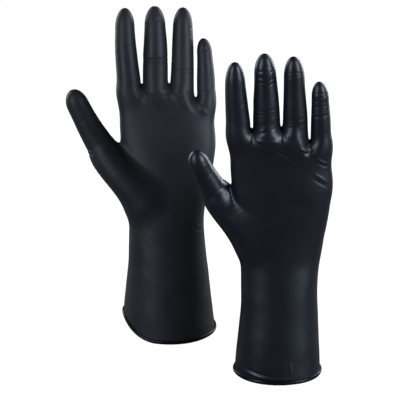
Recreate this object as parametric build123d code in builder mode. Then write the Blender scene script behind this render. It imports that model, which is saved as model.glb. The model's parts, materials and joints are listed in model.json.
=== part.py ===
"""A pair of long insulating rubber gloves, left and right, standing on their cuffs with the fingers up.

Each glove is one dipped skin, open at the cuff. It is divided here where the rubber flexes: at the wrist,
at the root and the two creases of each finger, and at the two joints of the thumb. Each stretch between two
flexes is one hollow part. The left glove's palm faces -Y and the right glove's palm faces +Y.

Frame: millimetres, +Z up, origin on the table in the middle of the pair, +X towards the right glove.
"""

from build123d import *
from dataclasses import dataclass
from math import cos, radians, sin
import os

os.makedirs("parts", exist_ok=True)

# --- driving dimensions, in mm and degrees -------------------------------------------------
WALL = 1.0  # thickness of the rubber
GAP = 0.3  # clearance between two parts that flex against each other
ROLL_HEIGHT = 4.0  # the rolled edge of the cuff
ROLL_PROUD = 1.6  # how far the roll stands out from the cuff
BAND_HALF = 15.0  # half the height of the wrist band that flexes
LEAN = 10.0  # how far the open hand leans back from the forearm
STUB_DEPTH = 24.0  # how far a finger's form runs down inside the palm
STUB_OVERRUN = 2.0  # how far a hollow is cut past the end that it opens
ROUNDING = 0.5523  # length of the handles that make a Bezier curve a quarter of an oval
FINGERS = ("index", "middle", "ring", "little")
# radius of each finger at its root, its middle crease and its tip crease
GIRTHS = {
    "index": (11.0, 10.3, 9.6),
    "middle": (11.7, 11.2, 10.3),
    "ring": (11.0, 10.4, 9.4),
    "little": (9.0, 8.4, 7.6),
}
MIDDLE_CREASE, TIP_CREASE = 0.30, 0.64  # places of the creases along a finger
THUMB_ROOT = 6.0  # the root flex, along the thumb from that knuckle
THUMB_CREASE = 0.565  # place of the tip flex along a thumb
THUMB_GIRTHS = (14.2, 13.4, 10.9)  # radius at the knuckle, the root flex and the tip flex
THUMB_PAD = 65.0  # how far the thumb's pad is turned from the index finger towards the palm


@dataclass
class Glove:
    """One glove's own measures. Places in the hand are (across, up) from the middle of the wrist."""

    side: str
    palm: int  # -1 where the palm faces -Y, 1 where it faces +Y
    centre: tuple  # middle of the cuff's opening on the table
    wrist: float  # height of the wrist above the table
    cuff: list  # sections (height, middle across, half width, half depth)
    rim_flat_to: float  # the rim is flat from here to the little finger's side
    rim_rise: float  # and rises this much at the thumb's side
    palm_sections: list  # sections (up, middle across, half width, half depth)
    roots: dict  # root flex of each finger
    tips: dict  # tip of each finger
    thumb_knuckle: tuple  # (across, towards the palm, up)
    thumb_length: float  # from that knuckle to the thumb's tip
    thumb_spread: float  # angle of the thumb away from the fingers
    thumb_forward: float  # angle of the thumb towards the palm's side, or back if below 0

    def hand(self):
        """The plane that the hand is drawn in: across, back to front, and up along the leaning hand."""
        tilt = radians(LEAN)
        return Plane(
            origin=(self.centre[0], self.centre[1], self.wrist),
            x_dir=(1, 0, 0),
            z_dir=(0, -self.palm * sin(tilt), cos(tilt)),
        )

    def at(self, across, towards_palm, up):
        """A point of the hand as a point of the pair's frame."""
        return self.hand().from_local_coords(Vector(across, self.palm * towards_palm, up))


LEFT = Glove(
    side="left",
    palm=-1,
    centre=(-24.9, 46.8),
    wrist=118.0,
    cuff=[(0, 0, 45.4, 39.5), (55, -1.4, 41.3, 32.0), (118 - BAND_HALF, -2.2, 37.6, 24.5)],
    rim_flat_to=-12.0,
    rim_rise=19.0,
    palm_sections=[
        (BAND_HALF, -2.4, 38.2, 23.0),
        (45, -1.0, 44.0, 19.5),
        (85, -0.6, 46.6, 16.0),
        (127, -2.0, 46.6, 11.6),
    ],
    roots={"index": (-39.2, 136), "middle": (-12.3, 137), "ring": (13.1, 136), "little": (36.2, 128)},
    tips={"index": (-42.2, 206), "middle": (-12.3, 208), "ring": (13.8, 206.5), "little": (34.4, 177.5)},
    thumb_knuckle=(-66, 4, 71),
    thumb_length=62.0,
    thumb_spread=30,
    thumb_forward=10,
)
RIGHT = Glove(
    side="right",
    palm=1,
    centre=(79.4, -47.2),
    wrist=115.6,
    cuff=[(0, 0.4, 40.2, 32.0), (52, 0.6, 36.6, 28.5), (115.6 - BAND_HALF, 0.4, 36.0, 25.0)],
    rim_flat_to=0.0,
    rim_rise=0.0,
    palm_sections=[
        (BAND_HALF, -0.8, 38.9, 23.0),
        (45, -0.8, 43.6, 19.5),
        (85, -0.8, 45.8, 16.0),
        (127, -3.4, 45.6, 11.6),
    ],
    roots={"index": (-39.6, 138), "middle": (-14.7, 138), "ring": (10.3, 137), "little": (33.4, 128)},
    tips={"index": (-43.5, 198), "middle": (-17.8, 205), "ring": (6.6, 203), "little": (29.8, 178.5)},
    thumb_knuckle=(-58.5, 6, 62),
    thumb_length=54.0,
    thumb_spread=24,
    thumb_forward=-8,
)
PALM_TOP_SLOPE = 5.0  # the line of the finger roots falls towards the little finger
# the ball of the thumb, from inside the palm: (across, up, half width, half depth)
THUMB_BALL = [(-20, 20, 22, 17), (-43, 46, 20.5, 17)]


def unit(vector):
    return vector.normalized()


def ellipse_loft(sections, inset=0.0):
    """A form through ellipses, each given as (plane, half width, half depth), all smaller by inset."""
    with BuildPart() as form:
        for plane, half_width, half_depth in sections:
            with BuildSketch(plane):
                Ellipse(half_width - inset, half_depth - inset)
        loft()
    return form.part


def turned(place, profile):
    """A solid of revolution from points (radius, along), with its axis along the place's Z."""
    with BuildPart() as solid:
        with BuildSketch(Plane.XZ):
            with BuildLine():
                Polyline(*profile, close=True)
            make_face()
        revolve(axis=Axis.Z)
    return solid.part.moved(place.location)


def tube(place, start, end, start_radius, end_radius):
    """An open stretch of finger skin between two flexes."""
    return turned(
        place,
        [
            (start_radius - WALL, start),
            (start_radius, start),
            (end_radius, end),
            (end_radius - WALL, end),
        ],
    )


def quarter_oval(start, end, radius):
    """Control points of a quarter of an oval, from the side at start to the axis at end."""
    height = end - start
    return [
        (radius, start),
        (radius, start + ROUNDING * height),
        (ROUNDING * radius, end),
        (0, end),
    ]


def domed_tip(place, start, end, radius):
    """The closed end of a finger: half an ellipsoid of skin."""
    with BuildPart() as tip:
        with BuildSketch(Plane.XZ):
            with BuildLine():
                Bezier(*quarter_oval(start, end, radius))
                Line((0, end), (0, end - WALL))
                Bezier(*quarter_oval(start, end - WALL, radius - WALL))
                Line((radius - WALL, start), (radius, start))
            make_face()
        revolve(axis=Axis.Z)
    return tip.part.moved(place.location)


def rod(place, start, end, start_radius, end_radius, inset=0.0):
    """A solid stretch of a finger's form."""
    return turned(
        place,
        [(0, start), (start_radius - inset, start), (end_radius - inset, end), (0, end)],
    )


def finger_place(glove, name):
    """Origin at the finger's root flex, Z along the finger, X across it."""
    root = glove.at(glove.roots[name][0], 0, glove.roots[name][1])
    tip = glove.at(glove.tips[name][0], 0, glove.tips[name][1])
    along = unit(tip - root)
    front = glove.hand().y_dir
    return Plane(origin=root, x_dir=front.cross(along), z_dir=along)


def finger_length(glove, name):
    root, tip = glove.roots[name], glove.tips[name]
    return (Vector(tip[0], tip[1]) - Vector(root[0], root[1])).length


def thumb_place(glove):
    """Origin at the thumb's knuckle, Z along the thumb, X towards its pad."""
    spread, forward = radians(glove.thumb_spread), radians(glove.thumb_forward)
    knuckle = glove.at(*glove.thumb_knuckle)
    along = unit(
        glove.at(-sin(spread) * cos(forward), sin(forward), cos(spread) * cos(forward))
        - glove.at(0, 0, 0)
    )
    palmwards = glove.hand().y_dir * glove.palm
    palmwards = unit(palmwards - along * palmwards.dot(along))
    inwards = Vector(1, 0, 0)
    inwards = unit(inwards - along * inwards.dot(along))
    turn = radians(THUMB_PAD)
    pad = inwards * cos(turn) + palmwards * sin(turn)
    pad = unit(pad - along * pad.dot(along))
    return Plane(origin=knuckle, x_dir=pad, z_dir=along)


def rim_zone(glove, height):
    """Everything below the cuff's rim raised by height, as a block right through the cuff."""
    reach = 70.0
    x, y = glove.centre
    flat_to = glove.rim_flat_to
    outer = -glove.cuff[0][2]
    with BuildPart() as block:
        with BuildSketch(Plane.XZ.offset(-y)):
            with BuildLine():
                if glove.rim_rise:
                    run = flat_to - outer
                    radius = (run**2 + glove.rim_rise**2) / (2 * glove.rim_rise)
                    top = (x + flat_to, height)
                    CenterArc((top[0], height + radius), radius, 180, 90)
                    Line((top[0] - radius, height + radius), (top[0] - radius, -reach))
                    Line((top[0] - radius, -reach), (x + reach, -reach))
                    Line((x + reach, -reach), (x + reach, height))
                    Line((x + reach, height), top)
                else:
                    Polyline(
                        (x - reach, -reach), (x + reach, -reach), (x + reach, height), (x - reach, height),
                        close=True,
                    )
            make_face()
        extrude(amount=reach, both=True)
    return block.part


def cuff_form(glove, inset):
    """The forearm's form, from just below the table to the wrist band."""
    x, y = glove.centre
    return ellipse_loft(
        [
            (Plane((x + middle, y, height)), half_width, half_depth)
            for height, middle, half_width, half_depth in glove.cuff
        ],
        inset,
    )


def cuff(glove):
    """The long sleeve of the glove, above its rolled edge."""
    with BuildPart() as sleeve:
        add(cuff_form(glove, 0))
        add(cuff_form(glove, WALL), mode=Mode.SUBTRACT)
        add(rim_zone(glove, ROLL_HEIGHT), mode=Mode.SUBTRACT)
    return sleeve.part


def cuff_roll(glove):
    """The rim, rolled outwards on itself, with the flat that it stands on."""
    with BuildPart() as roll:
        add(cuff_form(glove, -ROLL_PROUD))
        add(cuff_form(glove, WALL), mode=Mode.SUBTRACT)
        add(rim_zone(glove, ROLL_HEIGHT), mode=Mode.INTERSECT)
        add(rim_zone(glove, 0), mode=Mode.SUBTRACT)
    return roll.part


def wrist_ellipses(glove, up):
    """The wrist band's two ends: the cuff's last section and the hand's first."""
    x, y = glove.centre
    _, low_middle, low_width, low_depth = glove.cuff[-1]
    _, high_middle, high_width, high_depth = glove.palm_sections[0]
    hand = glove.hand()
    high = Plane(origin=glove.at(high_middle, 0, up), x_dir=hand.x_dir, z_dir=hand.z_dir)
    low = Plane((x + low_middle, y, glove.wrist - BAND_HALF))
    return [(low, low_width, low_depth), (high, high_width, high_depth)]


def wrist_band(glove):
    """The ring of skin that folds when the wrist bends."""
    ends = wrist_ellipses(glove, BAND_HALF - GAP)
    with BuildPart() as band:
        add(ellipse_loft(ends))
        add(ellipse_loft(ends, WALL), mode=Mode.SUBTRACT)
    return band.part


def palm_form(glove, inset):
    """The palm and back of the hand, without thumb or fingers."""
    hand = glove.hand()
    sections = []
    for up, middle, half_width, half_depth in glove.palm_sections:
        plane = Plane(origin=glove.at(middle, 0, up), x_dir=hand.x_dir, z_dir=hand.z_dir)
        sections.append((plane, half_width, half_depth))
    top, half_width, half_depth = sections[-1]
    top = Plane(
        origin=top.origin - top.z_dir * inset,
        x_dir=top.x_dir.rotate(Axis((0, 0, 0), top.y_dir), PALM_TOP_SLOPE),
        z_dir=top.z_dir.rotate(Axis((0, 0, 0), top.y_dir), PALM_TOP_SLOPE),
    )
    sections[-1] = (top, half_width, half_depth)
    return ellipse_loft(sections, inset)


def thumb_ball_form(glove, inset):
    """The ball of the thumb, from inside the palm over the knuckle to the thumb's root flex."""
    front = glove.hand().y_dir
    knuckle = glove.at(*glove.thumb_knuckle)
    towards_palm = glove.thumb_knuckle[1] / 2
    thumb = thumb_place(glove)
    rises = [
        (glove.at(across, towards_palm, up), half_width, half_depth)
        for across, up, half_width, half_depth in THUMB_BALL
    ]
    knuckle_radius, root_radius, _ = THUMB_GIRTHS
    rises.append((knuckle, knuckle_radius, knuckle_radius))
    rises.append((knuckle + thumb.z_dir * THUMB_ROOT, root_radius, root_radius))
    points = [point for point, _, _ in rises]
    steps = [unit(high - low) for low, high in zip(points, points[1:])]
    turns = [steps[0]] + [unit(low + high) for low, high in zip(steps, steps[1:])] + [steps[-1]]
    return ellipse_loft(
        [
            (Plane(origin=point, x_dir=front.cross(turn), z_dir=turn), half_width, half_depth)
            for (point, half_width, half_depth), turn in zip(rises, turns)
        ],
        inset,
    )


def hand_form(glove, inset):
    """The palm, the ball of the thumb and the first stretch of every finger, joined."""
    overrun = STUB_OVERRUN if inset else 0
    with BuildPart() as form:
        add(palm_form(glove, inset))
        add(thumb_ball_form(glove, inset))
        for name in FINGERS:
            radius = GIRTHS[name][0]
            add(rod(finger_place(glove, name), -STUB_DEPTH, overrun, radius, radius, inset))
    return form.part


def hand(glove):
    """The glove's body, open at the wrist and at every finger."""
    with BuildPart() as body:
        add(hand_form(glove, 0))
        add(hand_form(glove, WALL), mode=Mode.SUBTRACT)
        add(wrist_opening(glove), mode=Mode.SUBTRACT)
    return body.part


def wrist_opening(glove):
    """Clears what of the thumb's ball reaches below the wrist."""
    hand_plane = glove.hand()
    depth = 60.0
    low = Plane(origin=glove.at(0, 0, BAND_HALF), x_dir=hand_plane.x_dir, z_dir=hand_plane.z_dir)
    with BuildPart() as block:
        with BuildSketch(low):
            Rectangle(4 * depth, 2 * depth)
        extrude(amount=-depth)
    return block.part


def finger_parts(glove, name):
    """The three stretches of a finger, from root to tip."""
    place = finger_place(glove, name)
    length = finger_length(glove, name)
    root_radius, middle_radius, tip_radius = GIRTHS[name]
    middle, tip = length * MIDDLE_CREASE, length * TIP_CREASE
    return {
        "base": tube(place, GAP, middle, root_radius, middle_radius),
        "middle": tube(place, middle + GAP, tip, middle_radius, tip_radius),
        "tip": domed_tip(place, tip + GAP, length, tip_radius),
    }


def thumb_parts(glove):
    """The two stretches of the thumb."""
    place = thumb_place(glove)
    _, root_radius, tip_radius = THUMB_GIRTHS
    crease = THUMB_CREASE * glove.thumb_length
    return {
        "base": tube(place, THUMB_ROOT + GAP, crease, root_radius, tip_radius),
        "tip": domed_tip(place, crease + GAP, glove.thumb_length, tip_radius),
    }


def write(part, name):
    part.label = name
    export_step(part, f"parts/{name}.step")


for glove in (LEFT, RIGHT):
    write(cuff(glove), f"{glove.side}_cuff")
    write(cuff_roll(glove), f"{glove.side}_cuff_roll")
    write(wrist_band(glove), f"{glove.side}_wrist_band")
    write(hand(glove), f"{glove.side}_hand")
    for stretch, part in thumb_parts(glove).items():
        write(part, f"{glove.side}_thumb_{stretch}")
    for finger in FINGERS:
        for stretch, part in finger_parts(glove, finger).items():
            write(part, f"{glove.side}_{finger}_{stretch}")
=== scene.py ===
import json
import math

import bmesh
import bpy
import numpy as np
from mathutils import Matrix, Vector


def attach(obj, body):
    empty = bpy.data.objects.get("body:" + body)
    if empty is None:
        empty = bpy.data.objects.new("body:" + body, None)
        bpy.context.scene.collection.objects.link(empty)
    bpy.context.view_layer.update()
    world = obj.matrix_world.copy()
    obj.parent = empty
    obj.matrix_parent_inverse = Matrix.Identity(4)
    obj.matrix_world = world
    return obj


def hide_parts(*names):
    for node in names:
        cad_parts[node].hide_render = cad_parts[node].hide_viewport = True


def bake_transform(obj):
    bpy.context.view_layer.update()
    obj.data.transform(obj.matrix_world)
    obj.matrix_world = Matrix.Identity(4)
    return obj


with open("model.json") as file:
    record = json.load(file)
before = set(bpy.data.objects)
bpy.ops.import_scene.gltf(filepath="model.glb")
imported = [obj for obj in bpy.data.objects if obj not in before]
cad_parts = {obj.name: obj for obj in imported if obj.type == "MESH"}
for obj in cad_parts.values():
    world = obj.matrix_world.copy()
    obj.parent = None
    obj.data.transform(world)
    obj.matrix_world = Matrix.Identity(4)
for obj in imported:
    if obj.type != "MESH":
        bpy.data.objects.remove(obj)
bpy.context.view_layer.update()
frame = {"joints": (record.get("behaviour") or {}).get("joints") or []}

JOINTS = {joint["name"]: joint for joint in frame["joints"]}

# The stage: a pale seamless floor in a white room, which look white to the camera but lend the rubber little
# light. Two tall soft boxes in front draw the long highlights down the sleeves, two behind light the outer
# edges, and one overhead lights the fingertips.
AIM = Vector((0.0047, 0.0048, 0.153))
CAMERA_DISTANCE = 1.3
CAMERA_TILT = math.radians(20)
CAMERA_LENS = 123.2
FLOOR_HALF = 9
FLOOR_GLOW = 0.97  # how bright the floor looks to the camera
ROOM_LIGHT = 0.04  # how brightly the room lights the gloves

floor_mesh = bpy.data.meshes.new("floor")
floor_corners = [(x * FLOOR_HALF, y * FLOOR_HALF, 0) for x, y in ((-1, -1), (1, -1), (1, 1), (-1, 1))]
floor_mesh.from_pydata(floor_corners, [], [(0, 1, 2, 3)])
floor = bpy.data.objects.new("floor", floor_mesh)
bpy.context.collection.objects.link(floor)
paper = bpy.data.materials.new("pale_floor")
paper.use_nodes = True
paper_shader = paper.node_tree.nodes["Principled BSDF"]
paper_shader.inputs["Base Color"].default_value = (0.15, 0.15, 0.15, 1)
paper_shader.inputs["Roughness"].default_value = 0.9
paper_shader.inputs["Specular IOR Level"].default_value = 0.1
paper_shader.inputs["Emission Color"].default_value = (1, 1, 1, 1)
paper_seen = paper.node_tree.nodes.new("ShaderNodeLightPath")
paper_glow = paper.node_tree.nodes.new("ShaderNodeMapRange")
paper_glow.inputs["To Min"].default_value = 0.0
paper_glow.inputs["To Max"].default_value = FLOOR_GLOW
paper.node_tree.links.new(paper_seen.outputs["Is Camera Ray"], paper_glow.inputs["Value"])
paper.node_tree.links.new(paper_glow.outputs["Result"], paper_shader.inputs["Emission Strength"])
floor.data.materials.append(paper)

camera = bpy.data.objects.new("camera", bpy.data.cameras.new("camera"))
bpy.context.collection.objects.link(camera)
sight = Vector((0, math.cos(CAMERA_TILT), -math.sin(CAMERA_TILT)))
camera.location = AIM - sight * CAMERA_DISTANCE
camera.rotation_euler = sight.to_track_quat("-Z", "Y").to_euler()
camera.data.lens = CAMERA_LENS
bpy.context.scene.camera = camera


def soft_box(name, place, size, watts):
    """A rectangular area light that looks at the middle of the pair and isn't seen itself."""
    light = bpy.data.lights.new(name, "AREA")
    light.shape = "RECTANGLE"
    light.size, light.size_y = size
    light.energy = watts
    lamp = bpy.data.objects.new(name, light)
    bpy.context.collection.objects.link(lamp)
    lamp.visible_camera = False
    lamp.location = place
    lamp.rotation_euler = (AIM - Vector(place)).to_track_quat("-Z", "Y").to_euler()


soft_box("left_soft_box", (-0.85, -0.95, 0.5), (0.26, 1.0), 10)
soft_box("right_soft_box", (1.05, -0.85, 0.5), (0.26, 1.0), 18)
soft_box("top_soft_box", (0.0, -0.35, 1.7), (1.2, 0.7), 1.0)
soft_box("left_edge_box", (-1.1, 0.75, 0.6), (0.5, 1.2), 14)
soft_box("right_edge_box", (1.1, 0.75, 0.6), (0.5, 1.2), 20)
room = bpy.data.worlds.new("white_room")
room.use_nodes = True
walls = room.node_tree.nodes["Background"]
walls.inputs["Color"].default_value = (1, 1, 1, 1)
seen = room.node_tree.nodes.new("ShaderNodeLightPath")
brightness = room.node_tree.nodes.new("ShaderNodeMapRange")
brightness.inputs["To Min"].default_value = ROOM_LIGHT
brightness.inputs["To Max"].default_value = 1.0
room.node_tree.links.new(seen.outputs["Is Camera Ray"], brightness.inputs["Value"])
room.node_tree.links.new(brightness.outputs["Result"], walls.inputs["Strength"])
bpy.context.scene.world = room
bpy.context.scene.view_settings.view_transform = "Standard"


# The gloves' forms. A glove is one dipped skin of rubber, so one form gives its whole surface: the sleeve and
# palm through their sections, the ball of the thumb, the thumb and four fingers, all melted together.
# Lengths are millimetres from the middle of the wrist: x away from the thumb, y towards the back, z up.
LEAN = math.radians(10)
WRIST_EASE = 12.0  # how softly the sleeve turns into the leaning hand
PALM_SLACK = 0.92  # a finger's depth against its width
FINGERS = ("index", "middle", "ring", "little")
PALM_SQUARE = 0.45  # how much squarer than an oval the palm's section gets
FADE_START, FADE_LENGTH = 12, 14  # where a finger's body fades out inside the palm, below its root
BALL_LINKS = 16
# how far the fillets reach: over the palm's top, ball to thumb, finger to finger and fingers to palm, then
# sleeve to ball, at the wrist and at the thumb's crotch
TOP_MELT, THUMB_MELT, FINGER_MELT, KNUCKLE_MELT = 13.0, 1.0, 1.6, 8.0
WRIST_MELT, CROTCH_MELT = 16, 7
CROTCH_START, CROTCH_END = 40, 66

GLOVES = {
    "left": {
        "palm": -1,
        # height, thumb's edge, little finger's edge, depth of the palm's side, depth of the back
        "sections": [
            (-118, -48.6, 45.3, 40.0, 40.0),
            (-96, -47.3, 42.6, 37.5, 37.5),
            (-70, -45.0, 39.4, 33.5, 33.5),
            (-49, -42.8, 37.0, 30.0, 29.5),
            (-28, -41.3, 34.9, 26.5, 26.0),
            (-11, -40.6, 33.5, 24.0, 23.5),
            (11, -40.6, 33.9, 22.5, 21.5),
            (30, -42.0, 37.6, 21.5, 20.0),
            (48, -44.0, 41.4, 20.0, 18.5),
            (67, -46.5, 44.4, 17.5, 16.5),
            (80, -47.6, 44.9, 15.8, 15.2),
            (97, -48.2, 43.6, 13.8, 13.8),
            (126, -49.6, 43.2, 11.8, 11.8),
        ],
        "palm_top": [
            (-52, 135), (-40, 133), (-27, 127.5), (-13, 133), (0, 129),
            (12.5, 131), (25, 117), (36, 124), (46, 126),
        ],
        # root and tip as (across, up), girths along it, length of its domed end, sideways bow
        "fingers": {
            "index": (
                (-39.2, 136), (-42.8, 206.2),
                [(-26, 10.0), (-10, 11.2), (0, 11.6), (15, 11.2), (38, 10.1), (50, 9.5), (70, 9.0)], 18, -1.2,
            ),
            "middle": (
                (-13.8, 137), (-13.9, 208.5),
                [(-26, 12.8), (0, 12.5), (15, 12.3), (37, 11.4), (48, 10.5), (71, 9.8)], 18, 0.3,
            ),
            "ring": (
                (12.3, 136), (12.9, 207),
                [(-26, 12.0), (0, 11.6), (15, 11.1), (38, 10.3), (50, 9.7), (71, 9.2)], 18, 0.3,
            ),
            "little": (
                (35.3, 128), (32.6, 177.3),
                [(-26, 7.5), (-10, 8.6), (0, 9.0), (19, 8.3), (30, 7.5), (50, 7.0)], 14, 0.6,
            ),
        },
        "thumb": {
            "knuckle": (-66, 4, 71), "length": 65, "spread": 26.0, "forward": 10,
            "girths": [(-24, 12.0), (-8, 13.6), (0, 13.8), (11, 13.0), (25, 12.0), (42, 11.2), (62, 10.6)],
            "dome": 15, "bow": -1.4,
        },
        # the ball's places (across, towards the palm, up) and radii, from the middle of the palm outwards
        "ball": [(-28, 4, 22, 18.0), (-42.4, 6, 40.4, 18.0), (-59.0, 5, 60.0, 16.5), (-66, 4, 71, 14.2)],
        # where the cuff's edge starts to rise towards the thumb's side, and how far it rises
        "rim": (-12.0, 19.0),
    },
    "right": {
        "palm": 1,
        "sections": [
            (-115.6, -41.9, 39.8, 32.0, 32.0),
            (-90, -40.0, 38.2, 30.5, 30.5),
            (-69, -38.3, 36.5, 29.0, 29.0),
            (-50, -37.0, 35.2, 27.8, 27.5),
            (-28, -36.7, 34.4, 26.3, 26.0),
            (-13, -36.9, 34.8, 25.0, 24.5),
            (2, -37.8, 36.2, 23.5, 22.5),
            (20, -40.0, 38.3, 22.0, 21.0),
            (43, -42.6, 41.3, 20.0, 19.0),
            (60, -44.5, 43.1, 18.0, 17.5),
            (80, -46.4, 44.2, 15.8, 15.5),
            (97, -47.3, 42.2, 13.8, 13.8),
            (126, -49.2, 40.6, 11.8, 11.8),
        ],
        "palm_top": [
            (-52, 136), (-40, 134), (-29, 128.5), (-16, 134), (-4, 129.5),
            (9, 132), (21, 118), (31, 124), (43, 126),
        ],
        "fingers": {
            "index": (
                (-41.2, 138), (-45.3, 196.3),
                [(-26, 9.5), (-10, 10.4), (0, 10.8), (18, 10.0), (30, 9.3), (40, 8.7), (60, 8.3)], 18, -0.5,
            ),
            "middle": (
                (-16.6, 138), (-20.1, 204.5),
                [(-26, 12.6), (0, 12.3), (18, 11.5), (32, 10.6), (45, 9.7), (67, 9.2)], 19, 0.3,
            ),
            "ring": (
                (8.4, 137), (4.5, 202.0),
                [(-26, 11.6), (0, 11.2), (18, 10.4), (32, 9.6), (44, 9.0), (66, 8.6)], 18, 0.3,
            ),
            "little": (
                (31.0, 128), (27.4, 178.2),
                [(-26, 7.5), (-10, 8.6), (0, 9.0), (15, 8.6), (32, 7.6), (50, 7.0)], 14, 0.6,
            ),
        },
        "thumb": {
            "knuckle": (-58.5, 6, 62), "length": 54.5, "spread": 24, "forward": -8,
            "girths": [(-24, 11.0), (-8, 12.8), (0, 13.0), (10, 12.0), (19, 11.0), (33, 9.8), (54, 9.0)],
            "dome": 14, "bow": -1.2,
        },
        "ball": [(-27, 5, 22, 18.0), (-40.4, 6, 38, 17.5), (-54.5, 6, 56, 15.5), (-58.5, 6, 64, 13.8)],
        "rim": None,
    },
}
# start and end of the flexing skin at each finger's root, along the finger
ROOT_ZONES = {
    "index": (-5.0, 9.0), "middle": (-5.0, 9.0), "ring": (-4.5, 9.0), "little": (-6.0, 6.0),
    "thumb": (1.5, 13.0),
}


def smooth_curve(stations):
    """A smooth curve through (place, value) pairs, level beyond its ends."""
    x, y = np.array(stations, float).T
    gap, count = np.diff(x), len(x)
    slope = np.diff(y) / gap
    system, pull = np.eye(count), np.zeros(count)
    for i in range(1, count - 1):
        system[i, i - 1 : i + 2] = gap[i - 1], 2 * (gap[i - 1] + gap[i]), gap[i]
        pull[i] = 6 * (slope[i] - slope[i - 1])
    bend = np.linalg.solve(system, pull)
    fine = np.linspace(x[0], x[-1], 2000)
    i = np.clip(np.searchsorted(x, fine) - 1, 0, count - 2)
    before, after = fine - x[i], x[i + 1] - fine
    values = (
        (bend[i] * after**3 + bend[i + 1] * before**3) / (6 * gap[i])
        + (y[i] / gap[i] - bend[i] * gap[i] / 6) * after
        + (y[i + 1] / gap[i] - bend[i + 1] * gap[i] / 6) * before
    )
    return lambda place: np.interp(place, fine, values)


def ramp(value, start, end):
    """0 before start, 1 after end, smooth between."""
    t = np.clip((value - start) / (end - start), 0, 1)
    return t * t * (3 - 2 * t)


def melt(a, b, reach):
    """Joins two forms with a fillet between them."""
    share = np.clip(0.5 + 0.5 * (b - a) / reach, 0, 1)
    return b * (1 - share) + a * share - reach * share * (1 - share)


def unit(v):
    return v / np.linalg.norm(v)


def lean_back(z):
    """How far the middle of the hand stands behind the wrist at a height."""
    return math.tan(LEAN) * (z + np.sqrt(z * z + WRIST_EASE**2)) / 2


def in_hand(across, towards_palm, up):
    """A point of the leaning hand, in the glove's own measures."""
    cos, sin = math.cos(LEAN), math.sin(LEAN)
    return np.array((across, up * sin - towards_palm * cos, up * cos + towards_palm * sin))


def to_frame(glove, points):
    """Points of the glove as points of the pair's frame, in metres."""
    return np.asarray(points, float) * (1, -glove["palm"], 1) / 1000 + glove["wrist"]


def to_glove(glove, point):
    return (np.array(point) - glove["wrist"]) * 1000 * (1, -glove["palm"], 1)


def finger_facts(side, glove, name):
    """A finger's line, girths and creases, ready for its form."""
    if name == "thumb":
        thumb = glove["thumb"]
        spread, forward = math.radians(thumb["spread"]), math.radians(thumb["forward"])
        root = in_hand(*thumb["knuckle"])
        along = unit(in_hand(
            -math.sin(spread) * math.cos(forward), math.sin(forward), math.cos(spread) * math.cos(forward)
        ))
        length, girths, dome, bow = thumb["length"], thumb["girths"], thumb["dome"], thumb["bow"]
    else:
        low, high, girths, dome, bow = glove["fingers"][name]
        root = in_hand(low[0], 0, low[1])
        tip = in_hand(high[0], 0, high[1])
        along, length = unit(tip - root), np.linalg.norm(tip - root)
    back = in_hand(0, -1, 0)
    back = unit(back - along * (back @ along))
    joints = [f"{side}_{name}_{place}_bend" for place in ("root", "middle", "tip")]
    centres = [to_glove(glove, JOINTS[joint]["pos_m"]) for joint in joints if joint in JOINTS]
    creases = [float((centre - root) @ along) for centre in centres]
    return {
        "root": root, "along": along, "back": back, "across": np.cross(back, along), "length": length,
        "girth": smooth_curve(girths), "dome": dome, "bow": bow, "creases": creases,
        "zone": ROOT_ZONES[name],
    }


def finger_space(finger, points):
    """Places along, across and towards the back of a finger."""
    beside = points - finger["root"]
    along = beside @ finger["along"]
    share = np.clip(along / finger["length"], 0, 1)
    across = beside @ finger["across"] - finger["bow"] * 4 * share * (1 - share)
    return along, across, beside @ finger["back"]


def finger_form(finger, points):
    """A finger's form, below 0 inside: a long domed body that fades out inside the palm."""
    along, across, back = finger_space(finger, points)
    girth = finger["girth"](along)
    into_dome = np.maximum(along - (finger["length"] - finger["dome"]), 0) / finger["dome"]
    into_palm = np.maximum(-FADE_START - along, 0) / FADE_LENGTH
    squared = girth**2 * (1 - into_dome**2) * (1 - into_palm**2)
    steepness = 2 * girth**2 * (into_dome / finger["dome"] - into_palm / FADE_LENGTH)
    away = across**2 + (back / PALM_SLACK) ** 2
    return (away - squared) / np.sqrt(4 * away + steepness**2 + 0.2 * girth**2)


def sleeve_form(glove, points):
    """The forearm, wrist and palm: ovals through the sections, squarer up the palm, with a rounded top."""
    x, y, z = points.T
    up = z + np.maximum(z, 0) * (1 / math.cos(LEAN) - 1)
    low, high, front, behind = (edge(up) for edge in glove["edges"])
    half = (high - low) / 2
    u = np.abs((x - (low + high) / 2) / half)
    depth = y - lean_back(z)
    half_depth = np.where(depth < 0, front, behind)
    v = np.abs(depth / half_depth)
    power = 2 + PALM_SQUARE * ramp(up, 0, 80)
    size = np.maximum((u**power + v**power) ** (1 / power), 1e-3)
    rate = np.sqrt(((u / size) ** (power - 1) / half) ** 2 + ((v / size) ** (power - 1) / half_depth) ** 2)
    sides = (size - 1) / rate
    top = up - glove["top"](x)
    return -melt(-sides, -top, TOP_MELT)


def ball_links(stations):
    """The ball of the thumb as a smooth row of (place, radius), from inside the palm to the knuckle."""
    steps = range(len(stations))
    places = np.array([(*in_hand(*station[:3]), station[3]) for station in stations])
    curves = [smooth_curve(list(zip(steps, column))) for column in places.T]
    fine = np.linspace(0, len(stations) - 1, BALL_LINKS)
    return np.stack([curve(fine) for curve in curves], axis=1)


def ball_form(glove, points):
    """The ball of the thumb: round links, each running into the next."""
    form = np.full(len(points), 1e3)
    for low, high in zip(glove["links"], glove["links"][1:]):
        run = high[:3] - low[:3]
        share = np.clip((points - low[:3]) @ run / (run @ run), 0, 1)
        radius = low[3] + (high[3] - low[3]) * share
        form = np.minimum(form, np.linalg.norm(points - low[:3] - share[:, None] * run, axis=1) - radius)
    return form


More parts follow.
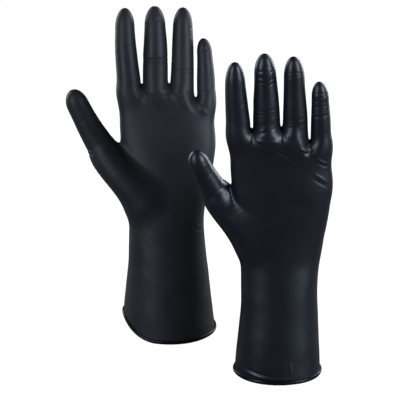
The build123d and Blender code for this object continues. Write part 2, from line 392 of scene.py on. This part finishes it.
def plain_form(glove, points):
    """The whole glove without its folds."""
    thumb = melt(ball_form(glove, points), finger_form(glove["digits"]["thumb"], points), THUMB_MELT)
    into_crotch = ramp(points[:, 2], CROTCH_START, CROTCH_END)
    form = melt(sleeve_form(glove, points), thumb, WRIST_MELT + (CROTCH_MELT - WRIST_MELT) * into_crotch)
    fingers = finger_form(glove["digits"]["index"], points)
    for name in FINGERS[1:]:
        fingers = melt(fingers, finger_form(glove["digits"][name], points), FINGER_MELT)
    return melt(form, fingers, KNUCKLE_MELT)


for side, glove in GLOVES.items():
    glove["wrist"] = np.array(JOINTS[f"{side}_wrist_bend"]["pos_m"])
    sections = np.array(glove["sections"], float)
    glove["edges"] = [smooth_curve(sections[:, (0, column)]) for column in (1, 2, 3, 4)]
    glove["top"] = smooth_curve(glove["palm_top"])
    glove["links"] = ball_links(glove["ball"])
    glove["digits"] = {name: finger_facts(side, glove, name) for name in (*FINGERS, "thumb")}


# The folds. Worn rubber isn't even: every finger has creases where it bends and fine wrinkles by its tip, and
# the palm and back have soft ridges that fan out from between the fingers.
# A crease is (finger, along, depth, width, middle angle, angle either side, slope, curve). Its angle is 0 at
# the middle of the palm's side, 90 on the little finger's side and 180 at the back.
GLOVES["left"]["creases"] = [
    ("middle", 20.5, 0.83, 1.1, 0, 75, 0.03, 0.010),
    ("middle", 17.0, 0.75, 1.1, 0, 80, -0.02, 0.008),
    ("middle", 13.0, 0.27, 1.2, 20, 50, 0.10, 0.0),
    ("middle", 44.5, 0.30, 1.2, 10, 55, 0.06, 0.010),
    ("middle", 57.0, 0.45, 1.1, -10, 50, 0.25, -0.02),
    ("middle", 60.5, 0.42, 1.0, 20, 45, -0.20, -0.03),
    ("middle", 63.5, 0.38, 1.0, -20, 40, 0.15, -0.04),
    ("middle", 52.0, 0.27, 1.1, 30, 40, -0.15, 0.0),
    ("ring", 11.0, 0.45, 1.1, 0, 70, 0.05, 0.010),
    ("ring", 7.5, 0.39, 1.1, 10, 65, -0.04, 0.012),
    ("ring", 44.0, 0.24, 1.3, 0, 60, 0.05, 0.0),
    ("ring", 50.5, 0.33, 1.0, 70, 30, 0.10, 0.0),
    ("index", 35.0, 0.27, 1.4, 0, 70, -0.04, 0.0),
    ("index", 19.0, 0.21, 1.5, 0, 60, 0.05, 0.0),
    ("little", 37.5, 0.60, 1.2, 10, 60, 0.45, 0.0),
    ("little", 33.0, 0.38, 1.1, 20, 60, 0.30, 0.0),
    ("little", 14.5, 0.45, 1.1, 0, 70, 0.10, 0.015),
    ("little", 12.0, 0.38, 1.1, 20, 55, 0.02, 0.015),
    ("little", -1.5, 0.42, 1.2, 10, 65, 0.10, 0.02),
    ("thumb", 4.0, 0.52, 1.0, -60, 45, 0.25, 0.0),
    ("thumb", 6.5, 0.38, 1.0, -55, 35, 0.10, 0.0),
    ("thumb", 35.0, 0.22, 1.6, 0, 70, 0.0, 0.0),
]
GLOVES["right"]["creases"] = [
    ("middle", 60.5, 0.40, 1.0, 190, 45, 0.30, 0.03),
    ("middle", 57.5, 0.45, 1.1, 170, 50, -0.20, 0.02),
    ("middle", 54.0, 0.50, 1.2, 185, 60, 0.25, 0.01),
    ("middle", 50.5, 0.45, 1.1, 160, 50, 0.40, 0.0),
    ("middle", 47.5, 0.40, 1.2, 200, 55, 0.10, 0.02),
    ("middle", 44.0, 0.35, 1.2, 175, 60, 0.30, 0.0),
    ("middle", 40.5, 0.25, 1.2, 150, 50, 0.15, 0.0),
    ("middle", 17.0, 0.22, 1.2, 180, 70, 0.12, 0.0),
    ("middle", 13.5, 0.24, 1.1, 190, 65, 0.05, 0.0),
    ("middle", 10.5, 0.20, 1.1, 175, 60, 0.10, 0.0),
    ("middle", 2.0, 0.30, 1.2, 200, 45, 0.45, 0.0),
    ("middle", -2.0, 0.30, 1.3, 200, 50, 0.35, 0.0),
    ("ring", 53.0, 0.30, 1.0, 180, 55, 0.0, -0.05),
    ("ring", 50.0, 0.20, 1.1, 180, 50, 0.10, -0.04),
    ("ring", 9.0, 0.24, 1.2, 180, 70, 0.05, 0.0),
    ("ring", 5.5, 0.20, 1.2, 185, 60, -0.06, 0.0),
    ("ring", 2.5, 0.20, 1.2, 180, 60, 0.10, 0.0),
    ("index", 48.0, 0.18, 1.3, 180, 60, 0.05, 0.0),
    ("index", 22.0, 0.16, 1.4, 180, 60, 0.05, 0.0),
    ("little", 42.0, 0.35, 1.0, 180, 50, 0.0, -0.06),
    ("little", 38.0, 0.30, 1.1, 170, 45, 0.30, 0.0),
    ("little", 34.0, 0.30, 1.1, 190, 50, -0.20, 0.0),
    ("little", 29.5, 0.28, 1.1, 180, 55, 0.15, 0.0),
    ("little", 20.5, 0.35, 1.1, 180, 65, 0.10, 0.0),
    ("thumb", 44.0, 0.20, 1.1, 150, 50, 0.0, -0.03),
    ("thumb", 31.0, 0.16, 1.5, 180, 70, 0.0, 0.0),
]
# A ridge is (face of the hand, its line as (across, up) points, height, half width). A groove has a height
# below 0. Face -1 is the palm's side and 1 is the back.
GLOVES["left"]["ridges"] = [
    (-1, [(-26, 129), (-19, 123), (-10, 113)], 0.55, 1.6),
    (-1, [(-25, 126), (-21, 119), (-15, 110)], -0.40, 1.6),
    (-1, [(-26, 131), (-18, 126.5), (-10, 124), (1, 126)], -0.45, 1.5),
    (-1, [(2, 127), (7, 121), (14, 113)], 0.50, 1.5),
    (-1, [(1, 124), (4, 118), (9, 110)], -0.35, 1.6),
    (-1, [(27, 117), (31, 111), (37, 104)], 0.45, 1.5),
    (-1, [(25, 114), (27, 108), (31, 101)], -0.30, 1.5),
    (-1, [(-38, 5), (-15, -14), (5, -32), (30, -54)], 0.20, 2.2),
    (-1, [(-37, -8), (-18, -24), (2, -42)], -0.16, 2.4),
    (-1, [(-36, -40), (-22, -52), (-8, -66)], 0.16, 2.4),
    (-1, [(20, 3), (27, -3), (34, -8)], 0.22, 1.2),
    (-1, [(18, -2), (25, -8), (33, -13)], 0.20, 1.2),
    (-1, [(-66, 56), (-50, 40), (-38, 22)], 0.25, 3.0),
]
GLOVES["right"]["ridges"] = [
    (1, [(-27, 124), (-17, 121.5), (-7, 123)], 0.50, 1.4),
    (1, [(-26, 121), (-16, 118.5), (-6, 120)], -0.35, 1.4),
    (1, [(-26, 131), (-20, 134), (-14, 139)], 0.40, 1.3),
    (1, [(-2, 129), (4, 123), (6, 117)], 0.35, 1.5),
    (1, [(-13, 117), (-2, 110), (10, 101)], -0.30, 1.0),
    (1, [(-10, 113), (2, 105), (13, 97)], 0.18, 1.2),
    (1, [(12, 116), (19, 113), (26, 117)], 0.45, 1.5),
    (1, [(14, 112), (20, 110), (27, 112)], -0.30, 1.4),
    (1, [(27, 106), (34, 101), (42, 99)], 0.40, 1.2),
    (1, [(28, 102), (34, 98), (42, 96)], -0.35, 1.2),
    (1, [(25, 92), (33, 86), (40, 80)], 0.38, 1.2),
    (1, [(23, 88), (31, 82), (40, 76)], -0.30, 1.2),
    (1, [(-41, -105), (-20, -109), (0, -110.5), (14, -110)], 0.55, 1.1),
    (1, [(-40, -102), (-20, -106), (-2, -107.5)], -0.40, 1.1),
    (1, [(9, -93), (9.5, -100), (10.5, -108)], 0.40, 1.0),
    (1, [(26, -95), (27, -102), (29, -109)], 0.25, 1.2),
    (1, [(-20, -80), (-18, -92), (-17, -104)], 0.14, 2.6),
]
WAVE_SIZES = ((60, 0.11), (30, 0.035), (16, 0.015))  # length and height
WAVES_EACH = 7
CREASE_REACH = 0.35  # how far off the finger's surface a crease is still felt, against its girth
RIDGE_TAPER = 0.7


def unevenness():
    """A fixed set of long waves that keep the rubber from being perfectly smooth."""
    chance = np.random.default_rng(11)
    waves = []
    for length, height in WAVE_SIZES:
        for _ in range(WAVES_EACH):
            wave = unit(chance.normal(size=3)) * math.tau / length
            waves.append((wave, chance.uniform(0, math.tau), height))
    return waves


WAVES = unevenness()


def folds(glove, points):
    """How far the skin stands out from the plain form at each point."""
    out = np.zeros(len(points))
    for wave, start, height in WAVES:
        out += height * np.sin(points @ wave + start)
    for name, place, depth, width, middle, spread, slope, curve in glove["creases"]:
        finger = glove["digits"][name]
        along, across, back = finger_space(finger, points)
        angle = np.degrees(np.arctan2(across, -back))
        turn = (angle - middle + 180) % 360 - 180
        drift = along - place - slope * across - curve * across**2
        near = np.exp(-((np.hypot(across, back) / finger["girth"](along) - 1) / CREASE_REACH) ** 2)
        out -= depth * near * np.exp(-((drift / width) ** 2) - (turn / spread) ** 2)
    for face, line, height, width in glove["ridges"]:
        on_face = ramp(face * (points[:, 1] - lean_back(points[:, 2])), -2, 3)
        flat = points[:, (0, 2)]
        line = np.array(line, float)
        lengths = np.concatenate([[0], np.cumsum(np.linalg.norm(np.diff(line, axis=0), axis=1))])
        nearest, place = np.full(len(points), 1e3), np.zeros(len(points))
        for i in range(len(line) - 1):
            run = line[i + 1] - line[i]
            share = np.clip((flat - line[i]) @ run / (run @ run), 0, 1)
            gap = np.linalg.norm(flat - line[i] - share[:, None] * run, axis=1)
            place = np.where(gap < nearest, lengths[i] + share * (lengths[i + 1] - lengths[i]), place)
            nearest = np.minimum(nearest, gap)
        taper = np.sin(np.clip(place / lengths[-1], 0, 1) * math.pi) ** RIDGE_TAPER
        out += height * on_face * taper * np.exp(-((nearest / width) ** 2))
    return out


def skin_form(glove, points):
    """The whole glove with its folds, below 0 inside."""
    return plain_form(glove, points) - folds(glove, points)


# The net over each form: four-sided faces where a regular grid crosses it, slid along the surface until they
# are even. Its normals come from the form, so that pieces cut from one net shade as one skin.
STEP = 1.0
BLOCK = 4  # the grid is looked through in blocks of this many steps a side
BLOCK_REACH = 6.5  # a block farther than this from the surface isn't crossed by it
GRID_LOW, GRID_HIGH, BELOW_CUFF = (-106.0, -46.0), (54.0, 62.0, 206.0), 4.0
CORNERS = np.array(((1, -1, -1), (-1, -1, 1), (-1, 1, -1), (1, 1, 1)), float)
PROBE = 0.25
EVENING = 0.6  # how far a corner slides towards the middle of its neighbours each time


def slope_of(glove, points):
    """The form's value at points, and its direction of steepest rise."""
    values = np.array([skin_form(glove, points + corner * PROBE) for corner in CORNERS])
    return values.mean(axis=0), np.einsum("cn,cd->nd", values, CORNERS) / (4 * PROBE)


def onto_skin(glove, points):
    """Points moved onto the surface, by 2 steps of the grid at most."""
    value, rise = slope_of(glove, points)
    step = np.clip(value / np.maximum((rise**2).sum(axis=1), 0.05), -2, 2)
    return points - rise * step[:, None]


def grid_points(low, places):
    return low + places * STEP


def crossed_grid(glove):
    """Which points of a regular grid lie inside the form. Only blocks near the surface are worked out."""
    low = np.array((*GRID_LOW, glove["sections"][0][0] - BELOW_CUFF))
    blocks = np.ceil((np.array(GRID_HIGH) - low) / STEP / BLOCK).astype(int)
    centres = np.indices(blocks).reshape(3, -1).T * BLOCK + (BLOCK - 1) / 2
    rough = plain_form(glove, grid_points(low, centres)).reshape(blocks)
    inside = rough < 0
    near = np.abs(rough) < BLOCK_REACH
    for axis in range(3):
        inside = np.repeat(inside, BLOCK, axis)
        near = np.repeat(near, BLOCK, axis)
    places = np.argwhere(near)
    inside[near] = plain_form(glove, grid_points(low, places)) < 0
    return low, inside


def net_over(glove):
    """Corners and four-sided faces of the skin."""
    low, inside = crossed_grid(glove)
    count = np.zeros(np.array(inside.shape) - 1, np.uint8)
    for i in (0, 1):
        for j in (0, 1):
            for k in (0, 1):
                count += inside[i : i + count.shape[0], j : j + count.shape[1], k : k + count.shape[2]]
    crossed = (count > 0) & (count < 8)
    number = np.full(count.shape, -1)
    number[crossed] = np.arange(crossed.sum())
    points = grid_points(low, np.argwhere(crossed) + 0.5)
    quads = []
    for axis in range(3):
        order = (axis, (axis + 1) % 3, (axis + 2) % 3)
        filled, cell = inside.transpose(order), number.transpose(order)
        change = filled[:-1, 1:-1, 1:-1] != filled[1:, 1:-1, 1:-1]
        i, j, k = np.argwhere(change).T
        ring = np.stack([cell[i, j, k], cell[i, j + 1, k], cell[i, j + 1, k + 1], cell[i, j, k + 1]], 1)
        outwards = filled[i, j + 1, k + 1]
        quads.append(np.where(outwards[:, None], ring, ring[:, ::-1]))
    quads = np.concatenate(quads)
    ends = np.concatenate([quads[:, (0, 1)], quads[:, (1, 2)], quads[:, (2, 3)], quads[:, (3, 0)]])
    shared = np.maximum(np.bincount(ends.ravel(), minlength=len(points)), 1)
    for _ in range(4):
        points = onto_skin(glove, points)
        total = np.stack([
            np.bincount(ends[:, 0], points[ends[:, 1], axis], len(points))
            + np.bincount(ends[:, 1], points[ends[:, 0], axis], len(points))
            for axis in range(3)
        ], axis=1)
        points = (1 - EVENING) * points + EVENING * total / shared[:, None]
    for _ in range(3):
        points = onto_skin(glove, points)
    return points, quads


# The rubber. Black dipped rubber with a faint sheen: the skin is slightly mottled, with a grain so fine that
# it only softens the highlights, and the rolled edge is smoother and darker.
def rubber(name, colour, dusty, roughness, shine, grain):
    """A black rubber of a colour and a dusty bloom, and how rough, how shiny and how grained it is."""
    material = bpy.data.materials.new(name)
    material.use_nodes = True
    nodes, links = material.node_tree.nodes, material.node_tree.links
    shader = nodes["Principled BSDF"]
    shader.inputs["Specular IOR Level"].default_value = shine
    shader.inputs["Specular Tint"].default_value = (0.72, 0.84, 1.0, 1)
    place = nodes.new("ShaderNodeTexCoord")
    cloud = nodes.new("ShaderNodeTexNoise")
    cloud.inputs["Scale"].default_value = 26
    cloud.inputs["Detail"].default_value = 5
    cloud.inputs["Roughness"].default_value = 0.6
    links.new(place.outputs["Object"], cloud.inputs["Vector"])
    bloom = nodes.new("ShaderNodeValToRGB")
    bloom.color_ramp.elements[0].position = 0.35
    bloom.color_ramp.elements[0].color = (*colour, 1)
    bloom.color_ramp.elements[1].position = 0.75
    bloom.color_ramp.elements[1].color = (*dusty, 1)
    links.new(cloud.outputs["Fac"], bloom.inputs["Fac"])
    links.new(bloom.outputs["Color"], shader.inputs["Base Color"])
    sheen = nodes.new("ShaderNodeMapRange")
    sheen.inputs["From Min"].default_value = 0.3
    sheen.inputs["From Max"].default_value = 0.75
    sheen.inputs["To Min"].default_value = roughness - 0.03
    sheen.inputs["To Max"].default_value = roughness + 0.05
    links.new(cloud.outputs["Fac"], sheen.inputs["Value"])
    links.new(sheen.outputs["Result"], shader.inputs["Roughness"])
    speckle = nodes.new("ShaderNodeTexNoise")
    speckle.inputs["Scale"].default_value = 900
    speckle.inputs["Detail"].default_value = 3
    links.new(place.outputs["Object"], speckle.inputs["Vector"])
    bump = nodes.new("ShaderNodeBump")
    bump.inputs["Strength"].default_value = grain
    bump.inputs["Distance"].default_value = 0.0002
    links.new(speckle.outputs["Fac"], bump.inputs["Height"])
    links.new(bump.outputs["Normal"], shader.inputs["Normal"])
    return material


RUBBER = {
    "left": rubber(
        "left_glove_rubber", (0.0105, 0.0125, 0.016), (0.0155, 0.0175, 0.0215), 0.50, 0.30, 0.25
    ),
    "right": rubber(
        "right_glove_rubber", (0.0012, 0.0016, 0.005), (0.002, 0.0024, 0.0065), 0.39, 0.50, 0.2
    ),
}
ROLL_RUBBER = {
    "left": rubber(
        "left_roll_rubber", (0.002, 0.002, 0.0025), (0.004, 0.004, 0.0045), 0.34, 0.2, 0.1
    ),
    "right": rubber(
        "right_roll_rubber", (0.0015, 0.0015, 0.003), (0.003, 0.003, 0.006), 0.32, 0.2, 0.1
    ),
}


# The skins. Each glove is one layer of rubber 1 mm thick, with no seam. Its net is cut only where it flexes:
# across the wrist, across the thumb at its two flexes and across every finger at its root and two creases.
# Each cut lies at the edge of a flexing stretch or midway between two.
SKIN = 1.0
BEND_HALF = {"little": 6.0, "index": 8.0, "middle": 8.0, "ring": 8.0, "thumb": 7.5}
WRIST_HALF = 15.0
SEAM_REACH = 4.0  # faces this near to a cut are looked at for it
FINGER_REACH = 14  # a face farther than this off a finger isn't the finger's
ROLL_HEIGHT = 4.0


def rim_height(glove, x):
    """How far the cuff's edge is above the table, by the place across."""
    if glove["rim"] is None:
        return np.zeros_like(x)
    flat_to, rise = glove["rim"]
    run = flat_to - glove["sections"][0][1]
    radius = (run**2 + rise**2) / (2 * rise)
    return radius - np.sqrt(radius**2 - np.clip(flat_to - x, 0, run + 1) ** 2)


def stretches_of(name):
    """The stretches of a finger or the thumb, from its root."""
    return ("base", "tip") if name == "thumb" else ("base", "middle", "tip")


def seams(glove):
    """(finger, stretch above the cut, place along the finger) of every cut across a finger or the thumb."""
    for name, finger in glove["digits"].items():
        half = BEND_HALF[name]
        places = [finger["zone"][0]]
        last = finger["zone"][1]
        for crease in finger["creases"][1:]:
            places.append((last + crease - half) / 2)
            last = crease + half
        for stretch, place in zip(stretches_of(name), places):
            yield name, stretch, place


def of_finger(glove, name, points, place):
    """Which points are past a place along a finger, and nearer to it than to its neighbours."""
    spaces = {other: finger_space(finger, points) for other, finger in glove["digits"].items()}
    gaps = {
        other: np.hypot(across, back / PALM_SLACK) - glove["digits"][other]["girth"](along)
        for other, (along, across, back) in spaces.items()
    }
    nearest = np.min([gaps[other] for other in gaps if other != name], axis=0)
    return (spaces[name][0] > place) & (gaps[name] < nearest) & (gaps[name] < FINGER_REACH)


def centres_of(mesh):
    return np.array([face.calc_center_median()[:] for face in mesh.faces])


def cut_skin(glove, points, quads):
    """The net with every cut made: its points, its three-sided faces and the piece each face belongs to."""
    skin = bmesh.new()
    for point in points:
        skin.verts.new(point)
    skin.verts.ensure_lookup_table()
    for quad in quads:
        skin.faces.new([skin.verts[i] for i in quad])
    skin.normal_update()

    def cut(chosen, point, direction, drop=False):
        skin.faces.ensure_lookup_table()
        faces = [skin.faces[i] for i in np.flatnonzero(chosen)]
        # in a fixed order, unlike a set's, so that the mesh comes out the same every time
        edges = dict.fromkeys(edge for face in faces for edge in face.edges)
        corners = dict.fromkeys(corner for face in faces for corner in face.verts)
        bmesh.ops.bisect_plane(
            skin, geom=[*faces, *edges, *corners], dist=1e-5, plane_co=point, plane_no=direction,
            clear_inner=drop,
        )

    for name, _, place in seams(glove):
        finger = glove["digits"][name]
        centres = centres_of(skin)
        along = (centres - finger["root"]) @ finger["along"]
        chosen = of_finger(glove, name, centres, place - SEAM_REACH) & (along < place + SEAM_REACH)
        cut(chosen, finger["root"] + finger["along"] * place, finger["along"])
    for place in (-WRIST_HALF, WRIST_HALF):
        centres = centres_of(skin)
        cut(np.abs(centres[:, 2] - place) < SEAM_REACH, (0, 0, place), (0, 0, 1))
    foot = glove["sections"][0][0] + ROLL_HEIGHT / 2
    for corner in skin.verts:
        corner.co.z -= float(rim_height(glove, np.array(corner.co.x)))
    cut(np.ones(len(skin.faces), bool), (0, 0, foot), (0, 0, 1), drop=True)
    for corner in skin.verts:
        corner.co.z += float(rim_height(glove, np.array(corner.co.x)))
    bmesh.ops.triangulate(skin, faces=skin.faces[:])

    skin.verts.index_update()
    points = np.array([corner.co[:] for corner in skin.verts])
    faces = np.array([[corner.index for corner in face.verts] for face in skin.faces])
    skin.free()
    centres = points[faces].mean(axis=1)
    piece = np.full(len(faces), "wrist_band", "U16")
    piece[centres[:, 2] > WRIST_HALF] = "hand"
    piece[centres[:, 2] < -WRIST_HALF] = "cuff"
    for name, stretch, place in seams(glove):
        piece[of_finger(glove, name, centres, place)] = f"{name}_{stretch}"
    return points, faces, piece


def skin_piece(side, glove, name, points, rises, faces):
    """A stretch of the skin with its real thickness, closed along its edges."""
    used, faces = np.unique(faces, return_inverse=True)
    faces = faces.reshape(-1, 3)
    outer, rise = points[used], rises[used]
    count = len(used)
    sides = np.concatenate([faces[:, (0, 1)], faces[:, (1, 2)], faces[:, (2, 0)]])
    forward, backward = sides @ (count, 1), sides @ (1, count)
    low, high = sides[~np.isin(forward, backward)].T
    edge = np.concatenate([
        np.stack([high, low, low + count], axis=1), np.stack([high, low + count, high + count], axis=1)
    ])
    corners = np.concatenate([outer, outer - rise * SKIN])
    every = np.concatenate([faces, faces[:, ::-1] + count, edge])
    a, b, c = (corners[edge[:, i]] for i in range(3))
    flat = np.cross(b - a, c - a)
    flat /= np.maximum(np.linalg.norm(flat, axis=1), 1e-9)[:, None]
    shade = np.concatenate([
        rise[faces].reshape(-1, 3), -rise[faces[:, ::-1]].reshape(-1, 3), np.repeat(flat, 3, axis=0)
    ])
    if glove["palm"] == 1:
        every = every[:, ::-1]
        shade = shade.reshape(-1, 3, 3)[:, ::-1].reshape(-1, 3) * (1, -1, 1)
    mesh = bpy.data.meshes.new(f"{side}_{name}_skin")
    mesh.from_pydata(to_frame(glove, corners), [], every)
    mesh.shade_smooth()
    mesh.normals_split_custom_set(shade)
    mesh.materials.append(RUBBER[side])
    piece = bpy.data.objects.new(f"{side}_{name}_skin", mesh)
    bpy.context.collection.objects.link(piece)
    return piece


for side, glove in GLOVES.items():
    points, quads = net_over(glove)
    points, faces, piece_of = cut_skin(glove, points, quads)
    _, rises = slope_of(glove, points)
    rises /= np.maximum(np.linalg.norm(rises, axis=1), 1e-9)[:, None]
    glove["pieces"] = {
        name: skin_piece(side, glove, name, points, rises, faces[piece_of == name])
        for name in np.unique(piece_of)
    }


# The sleeves and hands: the cuff over the forearm, and the palm, back and ball of the thumb. Both keep their
# shape, and each is held to its neighbours by the same skin running on.
for side, glove in GLOVES.items():
    for part in ("hand", "cuff"):
        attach(glove["pieces"][part], f"{side}_{part}")
        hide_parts(f"{side}_{part}")


# The wrist bands: the short stretch of each skin across the wrist, between the sleeve below and the hand
# above.
for side, glove in GLOVES.items():
    band = glove["pieces"]["wrist_band"]
    band_foot = to_frame(glove, (0, 0, -WRIST_HALF))
    band_top = to_frame(glove, (0, 0, WRIST_HALF))
    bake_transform(band)
    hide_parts(f"{side}_wrist_band")


# The fingers and thumbs: tubes of skin with domed ends, which run on from the palm. Every stretch is cut so
# that a crease is inside it.
def bend_piece(piece, side, glove, name, middle, reach):
    """Works out where the flex over a stretch's crease starts and ends, and bakes the stretch's placing into
    its mesh.
    """
    finger = glove["digits"][name]
    start, end = (to_frame(glove, finger["root"] + finger["along"] * (middle + along)) for along in reach)
    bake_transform(piece)
    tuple(start)
    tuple(end)


for side, glove in GLOVES.items():
    for name, finger in glove["digits"].items():
        below, middle, reach = "hand", 0, finger["zone"]
        for number, stretch in enumerate(stretches_of(name)):
            if number > 0:
                middle = finger["creases"][number]
                reach = (-BEND_HALF[name], BEND_HALF[name])
            piece = glove["pieces"][f"{name}_{stretch}"]
            bend_piece(piece, side, glove, name, middle, reach)
            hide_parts(f"{side}_{name}_{stretch}")
            below = f"{name}_{stretch}"


# The rolled edge of each cuff: the last of the skin rolled outwards on itself into a firm bead, which keeps
# the mouth of the glove open and which the glove stands on. A small oval is swept along the rim.
ROLL_HALF_WIDTH = 1.35
ROLL_OUT = 0.25  # how far the middle of the roll stands out from the skin
ROLL_SIDES = 20
RIM_POINTS = 240


def sweep_tool():
    """A geometry tool that sweeps an oval of a set width and height along a curve."""
    tree = bpy.data.node_groups.new("rolled_edge", "GeometryNodeTree")
    tree.interface.new_socket("Rim", in_out="INPUT", socket_type="NodeSocketGeometry")
    tree.interface.new_socket("Half width", in_out="INPUT", socket_type="NodeSocketFloat")
    tree.interface.new_socket("Half height", in_out="INPUT", socket_type="NodeSocketFloat")
    tree.interface.new_socket("Sides", in_out="INPUT", socket_type="NodeSocketInt")
    tree.interface.new_socket("Rubber", in_out="INPUT", socket_type="NodeSocketMaterial")
    tree.interface.new_socket("Roll", in_out="OUTPUT", socket_type="NodeSocketGeometry")
    nodes, links = tree.nodes, tree.links
    given, result = nodes.new("NodeGroupInput"), nodes.new("NodeGroupOutput")
    circle = nodes.new("GeometryNodeCurvePrimitiveCircle")
    circle.inputs["Radius"].default_value = 1
    links.new(given.outputs["Sides"], circle.inputs["Resolution"])
    scale = nodes.new("ShaderNodeCombineXYZ")
    scale.inputs["Z"].default_value = 1
    links.new(given.outputs["Half width"], scale.inputs["X"])
    links.new(given.outputs["Half height"], scale.inputs["Y"])
    oval = nodes.new("GeometryNodeTransform")
    links.new(circle.outputs["Curve"], oval.inputs["Geometry"])
    links.new(scale.outputs["Vector"], oval.inputs["Scale"])
    upright = nodes.new("GeometryNodeSetCurveNormal")
    upright.mode = "Z_UP"
    links.new(given.outputs["Rim"], upright.inputs["Curve"])
    sweep = nodes.new("GeometryNodeCurveToMesh")
    links.new(upright.outputs["Curve"], sweep.inputs["Curve"])
    links.new(oval.outputs["Geometry"], sweep.inputs["Profile Curve"])
    smooth = nodes.new("GeometryNodeSetShadeSmooth")
    links.new(sweep.outputs["Mesh"], smooth.inputs["Geometry"])
    real = nodes.new("GeometryNodeRealizeInstances")
    links.new(smooth.outputs["Geometry"], real.inputs["Geometry"])
    paint = nodes.new("GeometryNodeSetMaterial")
    links.new(real.outputs["Geometry"], paint.inputs["Geometry"])
    links.new(given.outputs["Rubber"], paint.inputs["Material"])
    links.new(paint.outputs["Geometry"], result.inputs["Roll"])
    return tree


def rim_line(glove):
    """Points right round the cuff's edge, in the middle of its roll."""
    turns = np.linspace(0, math.tau, RIM_POINTS, endpoint=False)
    low, high, front, behind = (edge(glove["sections"][0][0]) for edge in glove["edges"])
    foot = glove["sections"][0][0] + ROLL_HEIGHT / 2
    x = (low + high) / 2 + (high - low) / 2 * np.cos(turns)
    y = np.where(np.sin(turns) < 0, front, behind) * np.sin(turns)
    line = np.stack([x, y, foot + rim_height(glove, x)], axis=1)
    for _ in range(6):
        value, rise = slope_of(glove, line)
        rise[:, 2] = 0
        line = line - rise * ((value - ROLL_OUT) / np.maximum((rise**2).sum(axis=1), 0.05))[:, None]
        line[:, 2] = foot + rim_height(glove, line[:, 0])
    return line


ROLL_TOOL = sweep_tool()
for side, glove in GLOVES.items():
    curve = bpy.data.curves.new(f"{side}_rim", "CURVE")
    curve.dimensions = "3D"
    line = to_frame(glove, rim_line(glove))
    spline = curve.splines.new("POLY")
    spline.points.add(len(line) - 1)
    for point, place in zip(spline.points, line):
        point.co = (*place, 1)
    spline.use_cyclic_u = True
    rim = bpy.data.objects.new(f"{side}_rim", curve)
    bpy.context.collection.objects.link(rim)
    swept = rim.modifiers.new("rolled_edge", "NODES")
    swept.node_group = ROLL_TOOL
    values = {
        "Half width": ROLL_HALF_WIDTH / 1000, "Half height": ROLL_HEIGHT / 2000, "Sides": ROLL_SIDES,
        "Rubber": ROLL_RUBBER[side],
    }
    for socket in ROLL_TOOL.interface.items_tree:
        if socket.name in values:
            swept[socket.identifier] = values[socket.name]
    ready = rim.evaluated_get(bpy.context.evaluated_depsgraph_get())
    roll = bpy.data.objects.new(f"{side}_rolled_edge", bpy.data.meshes.new_from_object(ready))
    bpy.context.collection.objects.link(roll)
    bpy.data.objects.remove(rim)
    shaped = bmesh.new()
    shaped.from_mesh(roll.data)
    bmesh.ops.recalc_face_normals(shaped, faces=shaped.faces[:])
    shaped.to_mesh(roll.data)
    shaped.free()
    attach(roll, f"{side}_cuff")
    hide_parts(f"{side}_cuff_roll")
